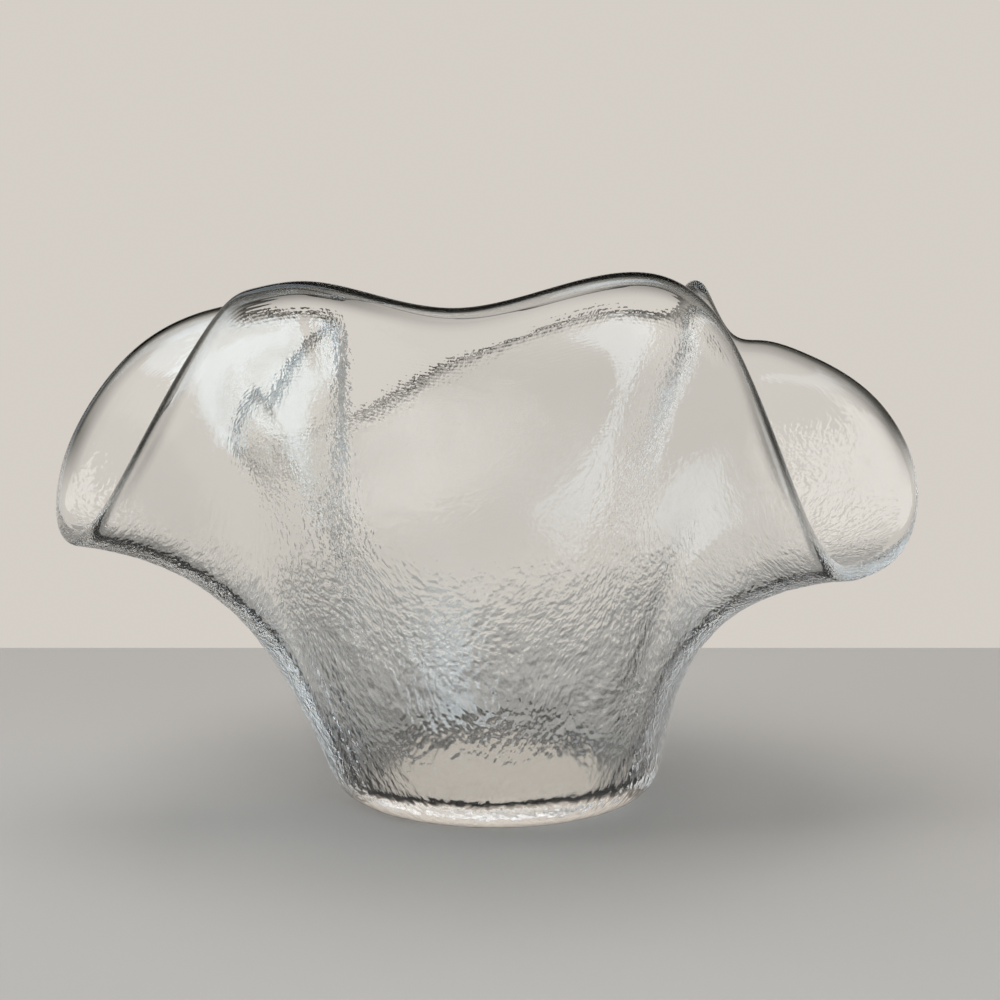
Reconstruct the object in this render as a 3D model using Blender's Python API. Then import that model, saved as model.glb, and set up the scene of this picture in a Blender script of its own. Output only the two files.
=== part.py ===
"""Handkerchief bowl: one piece of clear glass, a round plate folded up into a bowl.

Metres, +Z up. The foot's flat underside lies at z = 0, centred on the origin, and the side with
the long shallow wave faces -Y.
"""

import math

import bmesh
import bpy
import numpy as np
from mathutils import Vector

# The plate before it is folded: a thick floor, a bend and a thinner wall that ends in a round lip.
FLOOR_RADIUS = 0.0315  # where the floor ends and the bend begins
FLOOR = 0.0070  # thickness of the floor
BEND = 0.0083  # radius of the bend, along the middle of the glass
WALL = 0.0034  # thickness of the wall
LIP = 0.0038  # thickness of the lip, which the flame has drawn up a little
LIP_RUN = 0.0110  # length over which the wall thickens to the lip
THINNING = 0.0700  # length over which the floor's thickness runs out into the wall's

# The wall leaves the bend at this slope, steeper towards one side than the other.
LEAN = 76.5
LEAN_SWING = 12.5
LEAN_SIDE = 53.0

# The lip's slope, where it hangs lowest and where it stands highest.
LOW_FLARE = 9.0
HIGH_FLARE = 80.0

# How far the wall follows its slope at the bend and at the lip, as a share of the way between.
START_PULL = 0.58
END_PULL = 0.27

# The middle of the lip all round: direction in degrees from +X towards +Y, reach and height.
RIM = (
    (-96.0, 0.0780, 0.1243),  # the shallow wave
    (-81.0, 0.0795, 0.1287),
    (-69.0, 0.0800, 0.1319),  # its right shoulder
    (-58.0, 0.0797, 0.1283),
    (-50.0, 0.0810, 0.1175),
    (-42.0, 0.0835, 0.0955),
    (-34.0, 0.0880, 0.0715),
    (-22.0, 0.0945, 0.0637),  # the right spout
    (-9.0, 0.1025, 0.0700),
    (1.0, 0.1055, 0.0845),
    (10.0, 0.1010, 0.0995),
    (22.0, 0.0892, 0.1112),
    (29.0, 0.0825, 0.1142),
    (34.0, 0.0775, 0.1165),
    (38.0, 0.0755, 0.1255),
    (41.5, 0.0758, 0.1300),  # the tight fold
    (50.0, 0.0830, 0.1270),
    (70.0, 0.0930, 0.1262),
    (89.0, 0.0940, 0.1150),
    (107.0, 0.0970, 0.0985),
    (123.0, 0.0975, 0.0850),
    (132.0, 0.0990, 0.0822),
    (138.0, 0.0965, 0.0850),  # the back spout
    (143.0, 0.0795, 0.0985),
    (147.0, 0.0590, 0.1150),
    (151.5, 0.0480, 0.1232),  # the deep fold
    (161.0, 0.0580, 0.1252),
    (170.0, 0.0705, 0.1238),
    (180.0, 0.0905, 0.1132),
    (187.0, 0.1025, 0.0960),
    (195.0, 0.1075, 0.0800),
    (206.0, 0.1065, 0.0727),  # the left spout
    (212.0, 0.1005, 0.0835),
    (216.0, 0.0910, 0.1045),
    (221.0, 0.0830, 0.1222),
    (228.0, 0.0800, 0.1284),
    (238.0, 0.0785, 0.1300),  # the left shoulder
    (251.0, 0.0783, 0.1270),
)

# How finely the surface is divided.
COLUMNS = 120
FLOOR_ROWS = 2
BEND_ROWS = 4
WALL_ROWS = 13
LIP_ROWS = 5

GLASS_TINT = (0.93, 0.95, 0.94, 1.0)
GLASS_ROUGHNESS = 0.03
GLASS_INDEX = 1.5
SMOOTH_UP_TO = math.radians(40)
SAME_POINT = 0.00001
STEP = 0.0001


def closed_curve(angles, values):
    """A smooth function of the direction in degrees that passes through the values and repeats."""
    angles = np.array(angles)
    values = np.array(values)
    gap = (np.roll(angles, -1) - angles) % 360
    rise = (np.roll(values, -1) - values) / gap
    before = np.roll(gap, 1)
    count = len(angles)
    system = np.zeros((count, count))
    for i in range(count):
        system[i, i - 1] = 1 / before[i]
        system[i, i] = 2 / before[i] + 2 / gap[i]
        system[i, (i + 1) % count] = 1 / gap[i]
    slope = np.linalg.solve(system, 3 * (np.roll(rise / gap, 1) + rise / gap))

    def value(direction):
        turned = angles[0] + (direction - angles[0]) % 360
        i = int(np.searchsorted(angles, turned, side="right")) - 1
        j = (i + 1) % count
        t = (turned - angles[i]) / gap[i]
        u = 1 - t
        ends = values[i] * u * u * (1 + 2 * t) + values[j] * t * t * (1 + 2 * u)
        return ends + gap[i] * t * u * (slope[i] * u - slope[j] * t)

    return value


def blend(low, high, share):
    """Runs from low to high with no corner at either end."""
    share = min(max(share, 0.0), 1.0)
    return low + (high - low) * share * share * (3 - 2 * share)


rim_reach = closed_curve([row[0] for row in RIM], [row[1] for row in RIM])
rim_height = closed_curve([row[0] for row in RIM], [row[2] for row in RIM])
LOWEST = min(row[2] for row in RIM)
HIGHEST = max(row[2] for row in RIM)

BEND_END = FLOOR_RADIUS + BEND
PLATE_RADIUS = BEND_END + HIGHEST - BEND


def middle(direction, distance):
    """The middle of the glass at this distance from the plate's centre, as (reach, height)."""
    lean = LEAN + LEAN_SWING * math.cos(math.radians(direction - LEAN_SIDE))
    if distance <= FLOOR_RADIUS:
        return Vector((distance, FLOOR / 2))
    turn = math.radians(lean) * min((distance - FLOOR_RADIUS) / BEND, 1.0)
    point = Vector((FLOOR_RADIUS + BEND * math.sin(turn), FLOOR / 2 + BEND * (1 - math.cos(turn))))
    if distance <= BEND_END:
        return point
    end = Vector((rim_reach(direction), rim_height(direction)))
    share_of_height = (end.y - LOWEST) / (HIGHEST - LOWEST)
    flare = math.radians(blend(LOW_FLARE, HIGH_FLARE, share_of_height))
    way = (end - point).length
    outwards = Vector((math.cos(flare), math.sin(flare)))
    upwards = Vector((math.cos(turn), math.sin(turn)))
    if distance > PLATE_RADIUS:
        return end + outwards * (distance - PLATE_RADIUS)
    t = (distance - BEND_END) / (PLATE_RADIUS - BEND_END)
    first = point + upwards * way * START_PULL
    second = end - outwards * way * END_PULL
    u = 1 - t
    return point * u**3 + first * 3 * u * u * t + second * 3 * u * t * t + end * t**3


def folded(direction, distance, offset):
    """A point of the plate, offset above its middle, where the folding carries it."""

    def place(at_direction, at_distance):
        reach, height = middle(at_direction, at_distance)
        turn = math.radians(at_direction)
        return Vector((reach * math.cos(turn), reach * math.sin(turn), height))

    here = place(direction, distance)
    if distance <= FLOOR_RADIUS:
        return here + Vector((0, 0, offset))
    degrees = math.degrees(STEP / FLOOR_RADIUS)
    along = place(direction, distance + STEP) - place(direction, distance - STEP)
    round_it = place(direction + degrees, distance) - place(direction - degrees, distance)
    return here + along.cross(round_it).normalized() * offset


def half_thickness(distance):
    """Half the glass's thickness at this distance from the plate's centre."""
    thin = blend(FLOOR / 2, WALL / 2, (distance - FLOOR_RADIUS) / THINNING)
    return thin + blend(0, (LIP - WALL) / 2, 1 - (PLATE_RADIUS - distance) / LIP_RUN)


def plate_section():
    """The plate's edge-on outline from the centre of its underside to the centre of its top."""
    floor = [FLOOR_RADIUS * i / FLOOR_ROWS for i in range(FLOOR_ROWS)]
    bend = [FLOOR_RADIUS + BEND * i / BEND_ROWS for i in range(BEND_ROWS)]
    wall = [BEND_END + (PLATE_RADIUS - BEND_END) * i / WALL_ROWS for i in range(WALL_ROWS)]
    rows = [(distance, half_thickness(distance)) for distance in floor + bend + wall]
    under = [Vector((distance, 0, -half)) for distance, half in rows]
    over = [Vector((distance, 0, half)) for distance, half in rows]
    lip = []
    for i in range(LIP_ROWS + 1):
        turn = math.pi * (i / LIP_ROWS - 0.5)
        lip.append(Vector((PLATE_RADIUS + LIP / 2 * math.cos(turn), 0, LIP / 2 * math.sin(turn))))
    return under + lip + over[::-1]


def glass_bowl():
    """Spins the plate, folds it and returns it as an object."""
    work = bmesh.new()
    points = [work.verts.new(point) for point in plate_section()]
    edges = [work.edges.new(pair) for pair in zip(points, points[1:])]
    bmesh.ops.spin(
        work,
        geom=points + edges,
        cent=(0, 0, 0),
        axis=(0, 0, 1),
        angle=math.tau,
        steps=COLUMNS,
        use_merge=True,
    )
    bmesh.ops.remove_doubles(work, verts=work.verts, dist=SAME_POINT)
    for point in work.verts:
        direction = math.degrees(math.atan2(point.co.y, point.co.x))
        point.co = folded(direction, point.co.xy.length, point.co.z)
    bmesh.ops.recalc_face_normals(work, faces=work.faces)
    bmesh.ops.triangulate(work, faces=work.faces)
    mesh = bpy.data.meshes.new("glass_bowl")
    work.to_mesh(mesh)
    work.free()
    mesh.shade_smooth()
    mesh.set_sharp_from_angle(angle=SMOOTH_UP_TO)
    bowl = bpy.data.objects.new("glass_bowl", mesh)
    bpy.context.scene.collection.objects.link(bowl)
    return bowl


def clear_glass():
    """Clear colourless glass with a fire-polished surface."""
    material = bpy.data.materials.new("clear_glass")
    material.use_nodes = True
    shader = material.node_tree.nodes["Principled BSDF"]
    shader.inputs["Base Color"].default_value = GLASS_TINT
    shader.inputs["Roughness"].default_value = GLASS_ROUGHNESS
    shader.inputs["IOR"].default_value = GLASS_INDEX
    shader.inputs["Transmission Weight"].default_value = 1.0
    return material


for old in list(bpy.data.objects):
    bpy.data.objects.remove(old)
glass_bowl().data.materials.append(clear_glass())
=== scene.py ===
"""A clear glass handkerchief bowl on a pale studio floor, seen a little from above.

Metres, +Z up. The bowl stands at the origin with its long shallow wave towards the camera.
"""

import math

import bmesh
import bpy
import numpy as np
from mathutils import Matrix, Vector, noise


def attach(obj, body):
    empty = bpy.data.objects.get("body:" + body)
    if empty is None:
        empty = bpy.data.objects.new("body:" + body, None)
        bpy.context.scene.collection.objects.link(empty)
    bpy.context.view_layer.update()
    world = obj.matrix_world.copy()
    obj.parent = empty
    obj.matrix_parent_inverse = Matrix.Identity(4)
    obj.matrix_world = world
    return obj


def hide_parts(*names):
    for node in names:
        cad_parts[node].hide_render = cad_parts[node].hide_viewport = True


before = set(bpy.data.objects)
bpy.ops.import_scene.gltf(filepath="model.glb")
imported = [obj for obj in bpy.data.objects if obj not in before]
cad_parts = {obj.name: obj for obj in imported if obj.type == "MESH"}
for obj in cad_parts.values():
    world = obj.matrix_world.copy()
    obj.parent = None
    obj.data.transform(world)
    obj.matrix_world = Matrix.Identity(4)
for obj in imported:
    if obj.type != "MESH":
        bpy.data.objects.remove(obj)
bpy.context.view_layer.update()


# The bowl. One gather of clear glass, spread into a round plate in a bark-textured mould, so that
# its outer side is finely rippled and its inner side smooth, then reheated and left to drop over
# its foot into folds. The flame has rounded and thickened the lip and smoothed the band below it.

FLOOR_RADIUS = 0.0315
FLOOR = 0.0070
BEND = 0.0083
WALL = 0.0034
LIP = 0.0038
LIP_RUN = 0.0110
THINNING = 0.0700
LEAN = 76.5
LEAN_SWING = 12.5
LEAN_SIDE = 53.0
LOW_FLARE = 9.0
HIGH_FLARE = 80.0
START_PULL = 0.58
END_PULL = 0.27
RIM = (
    (-96.0, 0.0780, 0.1243),  # the shallow wave
    (-81.0, 0.0795, 0.1287),
    (-69.0, 0.0800, 0.1319),  # its right shoulder
    (-58.0, 0.0797, 0.1283),
    (-50.0, 0.0810, 0.1175),
    (-42.0, 0.0835, 0.0955),
    (-34.0, 0.0880, 0.0715),
    (-22.0, 0.0945, 0.0637),  # the right spout
    (-9.0, 0.1025, 0.0700),
    (1.0, 0.1055, 0.0845),
    (10.0, 0.1010, 0.0995),
    (22.0, 0.0892, 0.1112),
    (29.0, 0.0825, 0.1142),
    (34.0, 0.0775, 0.1165),
    (38.0, 0.0755, 0.1255),
    (41.5, 0.0758, 0.1300),  # the tight fold
    (50.0, 0.0830, 0.1270),
    (70.0, 0.0930, 0.1262),
    (89.0, 0.0940, 0.1150),
    (107.0, 0.0970, 0.0985),
    (123.0, 0.0975, 0.0850),
    (132.0, 0.0990, 0.0822),
    (138.0, 0.0965, 0.0850),  # the back spout
    (143.0, 0.0795, 0.0985),
    (147.0, 0.0590, 0.1150),
    (151.5, 0.0480, 0.1232),  # the deep fold
    (161.0, 0.0580, 0.1252),
    (170.0, 0.0705, 0.1238),
    (180.0, 0.0905, 0.1132),
    (187.0, 0.1025, 0.0960),
    (195.0, 0.1075, 0.0800),
    (206.0, 0.1065, 0.0727),  # the left spout
    (212.0, 0.1005, 0.0835),
    (216.0, 0.0910, 0.1045),
    (221.0, 0.0830, 0.1222),
    (228.0, 0.0800, 0.1284),
    (238.0, 0.0785, 0.1300),  # the left shoulder
    (251.0, 0.0783, 0.1270),
)
COLUMNS = 540
FLOOR_ROWS = 4
BEND_ROWS = 8
OUTER_ROWS = 96
INNER_ROWS = 36
LIP_ROWS = 10
STEP = 0.0001

RELIEF = 0.00012  # depth of the bark's coarser waves
RELIEF_LENGTH = 0.0055  # from one such wave to the next
WAVE_ROUGHNESS = 0.8  # how the waves' finer parts follow from the coarser ones
WAVE_STEP = 2.1
WAVE_PARTS = 3
FOOT_BARK = 1.4  # depth of the bark near the foot, as a share of the usual
HIGH_BARK = 0.15  # and high on the wall
BARK_FADES = (0.040, 0.108)  # the heights between which it fades from the one to the other
POLISHED_FOLDS = (41.5, 151.5)  # directions of the two folds that the flame has polished
POLISHED_WIDTH = 18.0  # in degrees, how far round the wall that reaches
LIP_BAND = 0.0032  # width of the smooth band below the lip
BAND_EDGE = 0.0016  # width over which the bark begins
# The lip's dark edge is painted shade: a grey in the glass's colour where the surface turns away.
LIP_SHADE = 0.0046  # width over which the lip's dark edge fades
CLEAR_SPOUTS = (0.078, 0.096)  # heights between which the lip turns from clear to dark
PAINTED_SHADE_GREY = (0.05, 0.05, 0.045, 1.0)  # of that dark edge
LIP_TURN = (-0.08, 0.22)  # how far it is turned away where it begins to darken and where it is dark

RIPPLE = 0.00022  # depth of the bark's fine strokes
RIPPLES_PER_METRE = 540.0
RIPPLE_DETAIL = 1.5
SWAY = 0.008  # how far the strokes are drawn out of their rows
SWAYS_PER_METRE = 45.0
TOOL_RING = 0.0000015  # depth of the rings that the tools left inside
TOOL_RING_PITCH = 0.0010
GLASS_COLOUR = (0.990, 0.995, 0.992, 1.0)
GLASS_INDEX = 1.5
POLISH = 0.0  # roughness of the smooth side
BARK_ROUGHNESS = 0.010  # and of the bark


def closed_curve(angles, values):
    """A smooth function of directions in degrees that passes through the values and repeats."""
    angles = np.array(angles)
    values = np.array(values)
    gap = (np.roll(angles, -1) - angles) % 360
    rise = (np.roll(values, -1) - values) / gap
    before = np.roll(gap, 1)
    count = len(angles)
    system = np.zeros((count, count))
    for i in range(count):
        system[i, i - 1] = 1 / before[i]
        system[i, i] = 2 / before[i] + 2 / gap[i]
        system[i, (i + 1) % count] = 1 / gap[i]
    slope = np.linalg.solve(system, 3 * (np.roll(rise / gap, 1) + rise / gap))

    def value(directions):
        turned = angles[0] + (directions - angles[0]) % 360
        i = np.searchsorted(angles, turned, side="right") - 1
        j = (i + 1) % count
        t = (turned - angles[i]) / gap[i]
        u = 1 - t
        ends = values[i] * u * u * (1 + 2 * t) + values[j] * t * t * (1 + 2 * u)
        return ends + gap[i] * t * u * (slope[i] * u - slope[j] * t)

    return value


def blend(low, high, share):
    """Runs from low to high with no corner at either end."""
    share = np.clip(share, 0.0, 1.0)
    return low + (high - low) * share * share * (3 - 2 * share)


rim_reach = closed_curve([row[0] for row in RIM], [row[1] for row in RIM])
rim_height = closed_curve([row[0] for row in RIM], [row[2] for row in RIM])
LOWEST = min(row[2] for row in RIM)
HIGHEST = max(row[2] for row in RIM)
BEND_END = FLOOR_RADIUS + BEND
PLATE_RADIUS = BEND_END + HIGHEST - BEND


def middle(direction, distance):
    """The middle of the glass at these distances from the plate's centre, as points."""
    lean = np.radians(LEAN + LEAN_SWING * np.cos(np.radians(direction - LEAN_SIDE)))
    turn = lean * np.clip((distance - FLOOR_RADIUS) / BEND, 0.0, 1.0)
    bend_reach = np.minimum(distance, FLOOR_RADIUS) + BEND * np.sin(turn)
    bend_height = FLOOR / 2 + BEND * (1 - np.cos(turn))
    rise = rim_height(direction)
    flare = np.radians(blend(LOW_FLARE, HIGH_FLARE, (rise - LOWEST) / (HIGHEST - LOWEST)))
    reach_gap = rim_reach(direction) - bend_reach
    rise_gap = rise - bend_height
    way = np.hypot(reach_gap, rise_gap)
    t = np.clip((distance - BEND_END) / (PLATE_RADIUS - BEND_END), 0.0, 1.0)
    u = 1 - t
    first = 3 * u * u * t * START_PULL * way
    second = 3 * u * t * t * END_PULL * way
    last = 3 * u * t * t + t**3
    beyond = np.maximum(distance - PLATE_RADIUS, 0.0)
    reach = bend_reach + last * reach_gap + first * np.cos(turn)
    reach += (beyond - second) * np.cos(flare)
    height = bend_height + last * rise_gap + first * np.sin(turn)
    height += (beyond - second) * np.sin(flare)
    around = np.radians(direction)
    return np.stack([reach * np.cos(around), reach * np.sin(around), height], axis=-1)


def folded(direction, distance, offset):
    """The plate's points, offset above its middle, where the folding carries them."""
    degrees = math.degrees(STEP / FLOOR_RADIUS)
    along = middle(direction, distance + STEP) - middle(direction, distance - STEP)
    round_it = middle(direction + degrees, distance) - middle(direction - degrees, distance)
    square = np.cross(along, round_it)
    length = np.linalg.norm(square, axis=-1, keepdims=True)
    flat = (distance <= FLOOR_RADIUS)[:, None]
    square = np.where(flat, (0.0, 0.0, 1.0), square / np.maximum(length, STEP**3))
    return middle(direction, distance) + square * offset[:, None]


def half_thickness(distance):
    """Half the glass's thickness at this distance from the plate's centre."""
    thin = blend(FLOOR / 2, WALL / 2, (distance - FLOOR_RADIUS) / THINNING)
    return thin + blend(0, (LIP - WALL) / 2, 1 - (PLATE_RADIUS - distance) / LIP_RUN)


def side_rows(wall_rows, side):
    """One side of the plate's edge-on outline, from its centre outwards."""
    wall = PLATE_RADIUS - BEND_END
    distances = [FLOOR_RADIUS * i / FLOOR_ROWS for i in range(FLOOR_ROWS)]
    distances += [FLOOR_RADIUS + BEND * i / BEND_ROWS for i in range(BEND_ROWS)]
    distances += [BEND_END + wall * i / wall_rows for i in range(wall_rows)]
    return [Vector((distance, 0, side * half_thickness(distance))) for distance in distances]


def glass_plate():
    """The flat plate with its round lip, spun from its edge-on outline."""
    lip = []
    for i in range(LIP_ROWS + 1):
        turn = math.pi * (i / LIP_ROWS - 0.5)
        lip.append(Vector((PLATE_RADIUS + LIP / 2 * math.cos(turn), 0, LIP / 2 * math.sin(turn))))
    outline = side_rows(OUTER_ROWS, -1) + lip + side_rows(INNER_ROWS, 1)[::-1]
    work = bmesh.new()
    points = [work.verts.new(point) for point in outline]
    edges = [work.edges.new(pair) for pair in zip(points, points[1:])]
    bmesh.ops.spin(
        work,
        geom=points + edges,
        cent=(0, 0, 0),
        axis=(0, 0, 1),
        angle=math.tau,
        steps=COLUMNS,
        use_merge=True,
    )
    bmesh.ops.remove_doubles(work, verts=work.verts, dist=STEP / 10)
    bmesh.ops.recalc_face_normals(work, faces=work.faces)
    mesh = bpy.data.meshes.new("glass_bowl_surface")
    work.to_mesh(mesh)
    work.free()
    return mesh


def fold_plate(mesh):
    """Folds the plate's points, and keeps where they lay, the bark's depth and the lip's painted
    shade.
    """
    flat = np.empty(len(mesh.vertices) * 3)
    mesh.vertices.foreach_get("co", flat)
    flat = flat.reshape(-1, 3)
    distance = np.hypot(flat[:, 0], flat[:, 1])
    direction = np.degrees(np.arctan2(flat[:, 1], flat[:, 0]))
    bark = blend(1, 0, (distance - PLATE_RADIUS + LIP_BAND + BAND_EDGE) / BAND_EDGE)
    bark *= blend(0, 1, (distance - FLOOR_RADIUS) / BEND)
    height = middle(direction, distance)[:, 2]
    up_the_wall = (height - BARK_FADES[0]) / (BARK_FADES[1] - BARK_FADES[0])
    bark *= blend(FOOT_BARK, HIGH_BARK, up_the_wall)
    for fold in POLISHED_FOLDS:
        aside = (direction - fold + 180) % 360 - 180
        bark *= 1 - blend(0, 1, up_the_wall) * np.exp(-((aside / POLISHED_WIDTH) ** 2))
    bark *= flat[:, 2] < 0
    waves = np.zeros(len(flat))
    for i in np.flatnonzero(bark > 0):
        spot = Vector((flat[i, 0], flat[i, 1], 0)) / RELIEF_LENGTH
        waves[i] = noise.fractal(spot, WAVE_ROUGHNESS, WAVE_STEP, WAVE_PARTS)
    depth = RELIEF * bark * waves
    folds = folded(direction, distance, flat[:, 2] - depth)
    mesh.vertices.foreach_set("co", folds.ravel())
    place = mesh.attributes.new("plate", "FLOAT_VECTOR", "POINT")
    place.data.foreach_set("vector", flat.ravel())
    cover = mesh.attributes.new("bark", "FLOAT", "POINT")
    cover.data.foreach_set("value", bark)
    # The share of painted shade on the lip's edge, none on the low spouts.
    lip = mesh.attributes.new("lip", "FLOAT", "POINT")
    painted_shade = blend(0, 1, (distance - PLATE_RADIUS + LIP_SHADE) / LIP_SHADE)
    painted_shade *= blend(0, 1, (height - CLEAR_SPOUTS[0]) / (CLEAR_SPOUTS[1] - CLEAR_SPOUTS[0]))
    lip.data.foreach_set("value", painted_shade)
    mesh.shade_smooth()
    mesh.update()


class Wire:
    """A node socket that takes part in sums as a number does."""

    def __init__(self, socket):
        self.socket = socket

    def node(self, kind, settings, inputs):
        """Adds a node beside this one, with its settings and its inputs' values or wires."""
        tree = self.socket.id_data
        made = tree.nodes.new(kind)
        for name, value in settings.items():
            setattr(made, name, value)
        for name, value in inputs.items():
            if isinstance(value, Wire):
                tree.links.new(value.socket, made.inputs[name])
            else:
                made.inputs[name].default_value = value
        return made

    def math(self, operation, *others):
        """The result of this Math operation on this wire and the others."""
        inputs = dict(enumerate((self, *others)))
        return Wire(self.node("ShaderNodeMath", {"operation": operation}, inputs).outputs[0])

    def __add__(self, other):
        return self.math("ADD", other)

    def __sub__(self, other):
        return self.math("SUBTRACT", other)

    def __rsub__(self, other):
        return self.math("MULTIPLY_ADD", -1.0, other)

    def __mul__(self, other):
        return self.math("MULTIPLY", other)

    __radd__ = __add__
    __rmul__ = __mul__

    def between(self, low, high):
        """0 below low, 1 above high and a smooth rise between them."""
        settings = {"interpolation_type": "SMOOTHSTEP"}
        inputs = {"Value": self, "From Min": low, "From Max": high}
        return Wire(self.node("ShaderNodeMapRange", settings, inputs).outputs[0])

    def colour(self, low, high):
        """The colour low where this is 0 and the colour high where it is 1."""
        made = self.node("ShaderNodeMix", {"data_type": "RGBA"}, {0: self, 6: low, 7: high})
        return Wire(made.outputs[2])


def clear_glass():
    """Clear glass: bark ripples outside, faint tool rings inside and a painted shade on the lip."""
    material = bpy.data.materials.new("clear_glass")
    material.use_nodes = True
    tree = material.node_tree
    tree.nodes.remove(tree.nodes["Principled BSDF"])
    surface = Wire(tree.nodes["Material Output"].inputs["Surface"])

    place = surface.node("ShaderNodeAttribute", {"attribute_name": "plate"}, {})
    place = Wire(place.outputs["Vector"])
    bark = surface.node("ShaderNodeAttribute", {"attribute_name": "bark"}, {})
    bark = Wire(bark.outputs["Fac"])
    sway = surface.node(
        "ShaderNodeTexNoise",
        {"noise_dimensions": "2D"},
        {"Vector": place, "Scale": SWAYS_PER_METRE, "Detail": 0.0},
    )
    swayed = surface.node(
        "ShaderNodeVectorMath",
        {"operation": "MULTIPLY_ADD"},
        {0: Wire(sway.outputs["Color"]), 1: (SWAY, SWAY, 0.0), 2: place},
    )
    strokes = surface.node(
        "ShaderNodeTexNoise",
        {"noise_dimensions": "2D"},
        {
            "Vector": Wire(swayed.outputs[0]),
            "Scale": RIPPLES_PER_METRE,
            "Detail": RIPPLE_DETAIL,
        },
    )
    level = surface.node(
        "ShaderNodeVectorMath",
        {"operation": "MULTIPLY"},
        {0: place, 1: (1.0, 1.0, 0.0)},
    )
    reach = surface.node(
        "ShaderNodeVectorMath",
        {"operation": "LENGTH"},
        {0: Wire(level.outputs[0])},
    )
    rings = (Wire(reach.outputs["Value"]) * (math.tau / TOOL_RING_PITCH)).math("SINE")
    split = surface.node("ShaderNodeSeparateXYZ", {}, {0: place})
    inside = Wire(split.outputs["Z"]).math("GREATER_THAN", 0.0)
    height = Wire(strokes.outputs["Fac"]) * bark * RIPPLE + rings * inside * TOOL_RING
    bump = surface.node("ShaderNodeBump", {}, {"Distance": 1.0, "Height": height})
    lip = surface.node("ShaderNodeAttribute", {"attribute_name": "lip"}, {})
    turned = surface.node("ShaderNodeLayerWeight", {}, {"Blend": 0.5})
    # Painted shade: the lip's edge is greyed where the surface turns away from the ray.
    lip_painted_shade = Wire(lip.outputs["Fac"]) * Wire(turned.outputs["Facing"]).between(*LIP_TURN)
    shader = surface.node(
        "ShaderNodeBsdfPrincipled",
        {},
        {
            "Base Color": lip_painted_shade.colour(GLASS_COLOUR, PAINTED_SHADE_GREY),
            "IOR": GLASS_INDEX,
            "Transmission Weight": 1.0,
            "Roughness": bark * BARK_ROUGHNESS + POLISH,
            "Normal": Wire(bump.outputs["Normal"]),
        },
    )
    tree.links.new(shader.outputs[0], surface.socket)
    return material


bowl_mesh = glass_plate()
fold_plate(bowl_mesh)
bowl_mesh.materials.append(clear_glass())
bowl = bpy.data.objects.new("folded_glass_bowl", bowl_mesh)
bpy.context.scene.collection.objects.link(bowl)
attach(bowl, "root")
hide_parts("glass_bowl")


# The floor. A square slab painted a pale grey, with the bowl's foot on its middle. Seen directly it
# is plain paint. What the glass shows of it has painted shade, darker where a ray meets it steeply,
# most of all in mirror images, and a painted pool of light that glows under the foot.

SLAB_SIDE = 0.410
SLAB_THICKNESS = 0.020
SLAB_EDGE = 0.002
EDGE_SEGMENTS = 3
SLAB_GREY = (0.50, 0.48, 0.46, 1.0)
# For rays through or off the glass the slab gets painted shade where they meet it steeply.
GLAZED_FLAT = (0.52, 0.50, 0.48, 1.0)  # through the glass, looked at along the slab
STEEP_PAINTED_SHADE = (0.21, 0.20, 0.19, 1.0)  # and looked at steeply
MIRRORED_PAINTED_SHADE = (0.020, 0.019, 0.018, 1.0)  # and mirrored by the glass
STEEP_TO_FLAT = (0.55, 0.80)  # how far it is turned away at the one and at the other
# A painted pool of light under the foot, which glows for rays through or off the glass.
PAINTED_POOL_OF_LIGHT = (0.52, 0.47, 0.41, 1.0)  # the light that only the glass shows
POOL_REACH = (0.024, 0.034)  # how far from the slab's middle it begins to fade, and ends
NO_LIGHT = (0.0, 0.0, 0.0, 1.0)
SLAB_ROUGHNESS = 0.7


def pale_slab():
    """A square slab with its top at z = 0 and softened edges."""
    work = bmesh.new()
    bmesh.ops.create_cube(work, size=1.0)
    bmesh.ops.scale(work, vec=(SLAB_SIDE, SLAB_SIDE, SLAB_THICKNESS), verts=work.verts)
    bmesh.ops.translate(work, vec=(0, 0, -SLAB_THICKNESS / 2), verts=work.verts)
    bmesh.ops.bevel(
        work,
        geom=work.edges,
        offset=SLAB_EDGE,
        affect="EDGES",
        segments=EDGE_SEGMENTS,
        profile=0.5,
        material=-1,
    )
    mesh = bpy.data.meshes.new("pale_slab")
    work.to_mesh(mesh)
    work.free()
    return mesh


def mirrored(wire):
    """1 for a ray that has been mirrored on its way, and 0 for a straight or a bent one."""
    path = wire.node("ShaderNodeLightPath", {}, {})
    return Wire(path.outputs["Glossy Depth"]).math("GREATER_THAN", 0.5)


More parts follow.
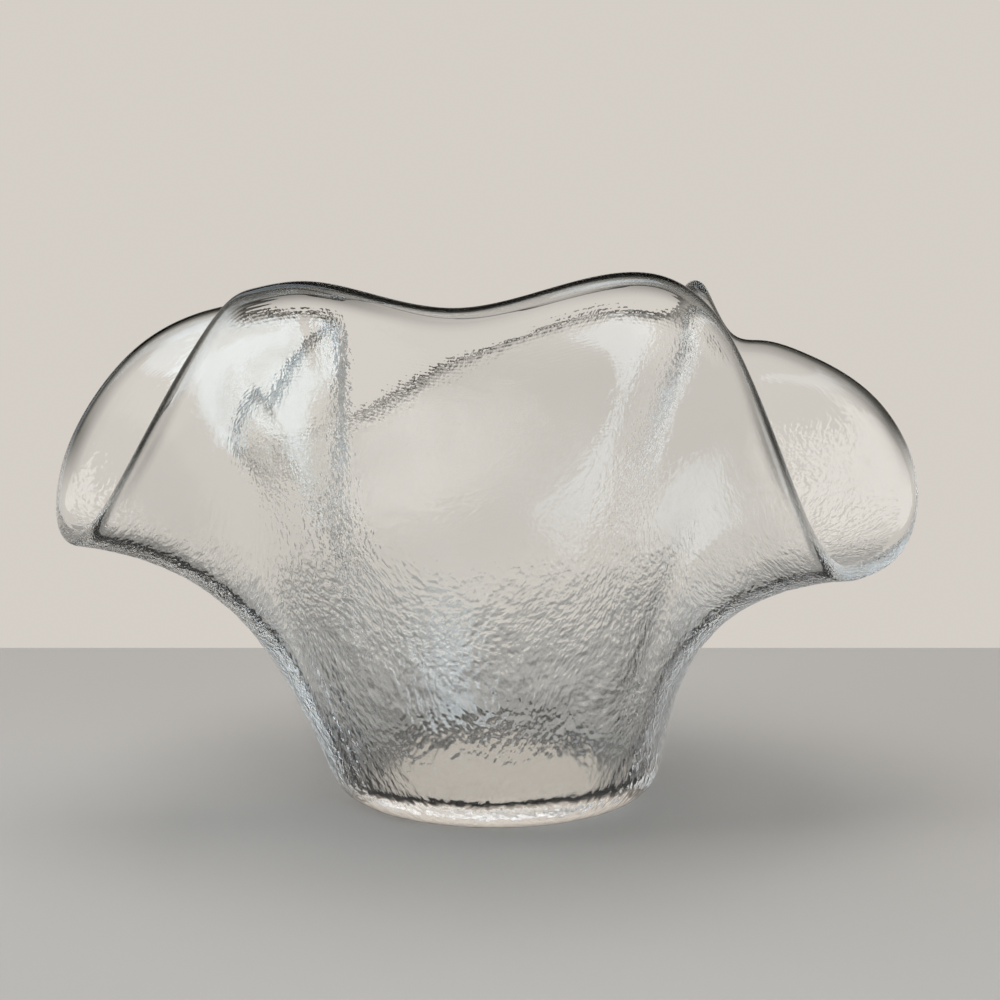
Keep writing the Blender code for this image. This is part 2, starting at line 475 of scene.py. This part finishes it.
def slab_paint():
    """Pale paint, and what the glass shows of it, with painted shade and a painted pool of light.
    """
    material = bpy.data.materials.new("pale_paint_with_painted_shade_and_light")
    material.use_nodes = True
    shader = material.node_tree.nodes["Principled BSDF"]
    paint = Wire(shader.inputs["Base Color"])
    # Painted shade: darker where a ray from the glass meets the slab steeply.
    turned = paint.node("ShaderNodeLayerWeight", {}, {"Blend": 0.5})
    flat = Wire(turned.outputs["Facing"]).between(*STEEP_TO_FLAT)
    glazed_painted_shade = flat.colour(mirrored(paint).colour(STEEP_PAINTED_SHADE, MIRRORED_PAINTED_SHADE), GLAZED_FLAT)
    path = paint.node("ShaderNodeLightPath", {}, {})
    bent = Wire(path.outputs["Is Transmission Ray"])
    by_glass = bent.math("MAXIMUM", Wire(path.outputs["Is Glossy Ray"]))
    place = paint.node("ShaderNodeTexCoord", {}, {})
    reach = paint.node(
        "ShaderNodeVectorMath",
        {"operation": "LENGTH"},
        {0: Wire(place.outputs["Object"])},
    )
    # A painted pool of light under the foot, glowing by emission for rays through or off the glass.
    under_foot = 1.0 - Wire(reach.outputs["Value"]).between(*POOL_REACH)
    painted_pool = (under_foot * by_glass).colour(NO_LIGHT, PAINTED_POOL_OF_LIGHT)
    links = material.node_tree.links
    links.new(by_glass.colour(SLAB_GREY, glazed_painted_shade).socket, paint.socket)
    links.new(painted_pool.socket, shader.inputs["Emission Color"])
    shader.inputs["Emission Strength"].default_value = 1.0
    shader.inputs["Roughness"].default_value = SLAB_ROUGHNESS
    return material


slab_mesh = pale_slab()
slab_mesh.materials.append(slab_paint())
slab = bpy.data.objects.new("pale_slab", slab_mesh)
bpy.context.scene.collection.objects.link(slab)


# The backdrop. The camera sees it plain and pale, a little warm. The glass shows it as a band all
# the way round, with the dark of an unlit studio above and below. It lights matt surfaces evenly
# and weakly from every side.

BACKDROP = (0.66, 0.62, 0.57, 1.0)
BACKDROP_TOP = math.sin(math.radians(30))
BACKDROP_FOOT = math.sin(math.radians(-40))
BACKDROP_EDGE = 0.10
IMAGE_FOOT = math.sin(math.radians(-24))  # the band's lower end in mirror images
IMAGE_EDGE = 0.05
IMAGE_LEVEL = 0.85
DARK = 0.02
FILL = 0.45  # the level at which it lights matt surfaces


def studio_world():
    """The pale band, with its own level for each kind of ray."""
    world = bpy.data.worlds.new("studio")
    world.use_nodes = True
    tree = world.node_tree
    strength = Wire(tree.nodes["Background"].inputs["Strength"])
    place = strength.node("ShaderNodeTexCoord", {}, {})
    split = strength.node("ShaderNodeSeparateXYZ", {}, {0: Wire(place.outputs["Generated"])})
    rise = Wire(split.outputs["Z"])
    below_top = 1.0 - rise.between(BACKDROP_TOP, BACKDROP_TOP + BACKDROP_EDGE)
    through = rise.between(BACKDROP_FOOT - BACKDROP_EDGE, BACKDROP_FOOT) * below_top
    mirror = rise.between(IMAGE_FOOT - IMAGE_EDGE, IMAGE_FOOT) * below_top * IMAGE_LEVEL
    path = strength.node("ShaderNodeLightPath", {}, {})
    seen = Wire(path.outputs["Is Camera Ray"])
    soft = Wire(path.outputs["Is Diffuse Ray"])
    image = mirrored(strength)
    level = image * mirror + (1.0 - image) * through + DARK
    level = soft * FILL + (1.0 - soft) * level
    level = seen + (1.0 - seen) * level
    tree.nodes["Background"].inputs["Color"].default_value = BACKDROP
    tree.links.new(level.socket, strength.socket)
    return world


bpy.context.scene.world = studio_world()


# The light. Two broad soft boxes stand for windows, and a square one hangs overhead, which no
# mirror image shows.

BOWL_MIDDLE = 0.07  # height of the point that the lamps are turned to


def soft_box(name, azimuth, rise, distance, size, watts, colour):
    """A broad lamp in this direction in degrees, turned to the bowl and unseen by the camera."""
    data = bpy.data.lights.new(name, "AREA")
    data.shape = "RECTANGLE"
    data.size, data.size_y = size
    data.energy = watts
    data.color = colour
    lamp = bpy.data.objects.new(name, data)
    turn = math.radians(azimuth)
    tilt = math.radians(rise)
    level = math.cos(tilt)
    away = Vector((math.sin(turn) * level, math.cos(turn) * level, math.sin(tilt)))
    lamp.location = away * distance + Vector((0, 0, BOWL_MIDDLE))
    lamp.rotation_euler = away.to_track_quat("Z", "Y").to_euler()
    lamp.visible_camera = False
    bpy.context.scene.collection.objects.link(lamp)
    return lamp


soft_box("window_right", 146, 10, 1.15, (1.12, 0.50), 6.2, (0.66, 0.86, 1.0))
soft_box("window_left", -92, 40, 1.15, (1.00, 0.60), 3.8, (0.78, 0.90, 1.0))
overhead = soft_box("overhead", 0, 89, 1.10, (0.90, 0.90), 8.0, (1.0, 0.98, 0.95))
overhead.visible_glossy = False

# Light is mirrored many times inside the round lip, the folds and the foot before it gets out.
LIGHT_PATH = 64
cycles = bpy.context.scene.cycles
cycles.max_bounces = LIGHT_PATH
cycles.glossy_bounces = LIGHT_PATH
cycles.transmission_bounces = LIGHT_PATH


# The camera. It looks slightly down at the wave from arm's length, level with the rim.

CAMERA_PLACE = (0, -0.495, 0.131)
CAMERA_DOWN = math.atan(215 / 1950)
CAMERA_LENS = 70.2
CAMERA_FILM = 36.0
CAMERA_SHIFT = 0.005
CAMERA_NEAREST = 0.01

camera_data = bpy.data.cameras.new("camera")
camera_data.lens = CAMERA_LENS
camera_data.sensor_width = CAMERA_FILM
camera_data.shift_x = CAMERA_SHIFT
camera_data.clip_start = CAMERA_NEAREST
camera = bpy.data.objects.new("camera", camera_data)
camera.location = CAMERA_PLACE
camera.rotation_euler = (math.pi / 2 - CAMERA_DOWN, 0, 0)
bpy.context.scene.collection.objects.link(camera)
bpy.context.scene.camera = camera
bpy.context.scene.view_settings.view_transform = "Standard"
